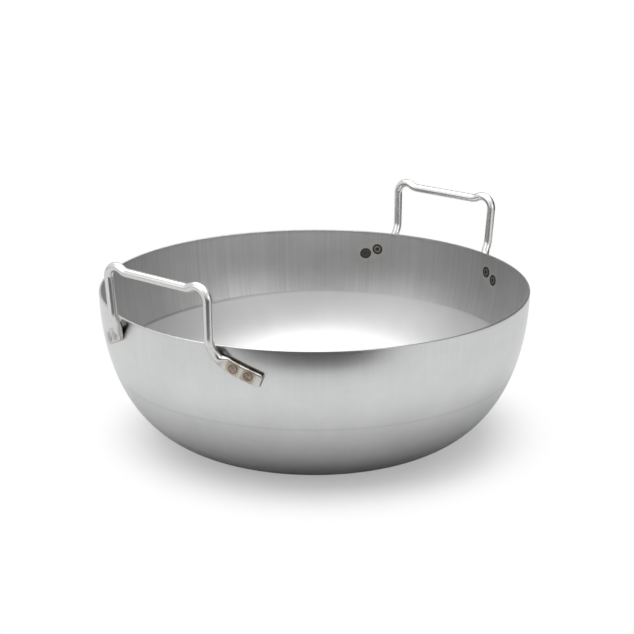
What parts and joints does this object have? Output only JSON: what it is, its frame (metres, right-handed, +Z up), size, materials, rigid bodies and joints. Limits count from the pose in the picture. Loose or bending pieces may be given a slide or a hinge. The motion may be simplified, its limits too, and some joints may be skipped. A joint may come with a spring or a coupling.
{
  "type": "deep fryer pot",
  "caption": "Deep round frying pot of drawn sheet steel with a curved wall, flat base, plain rim and fixed bent-rod loop handles riveted to the outside.",
  "frame": {"origin": "on the ground under the middle of the flat base", "axes": "+X towards the right handle, +Z up out of the mouth"},
  "size_m": [0.4218, 0.4, 0.2001],
  "materials": {
    "pot_steel": "raw drawn sheet with fine upright draw lines, satin",
    "rod_steel": "bright drawn rod",
    "rivet_steel": "heat-darkened oxide, matt"
  },
  "bodies": {
    "root": {"pot_body": "pot_steel", "handle_right": "rod_steel", "handle_left": "rod_steel", "rivet_right_back_upper": "rivet_steel", "rivet_right_back_lower": "rivet_steel", "rivet_right_front_upper": "rivet_steel", "rivet_right_front_lower": "rivet_steel", "rivet_left_back_upper": "rivet_steel", "rivet_left_back_lower": "rivet_steel", "rivet_left_front_upper": "rivet_steel", "rivet_left_front_lower": "rivet_steel"}
  },
  "joints": []
}
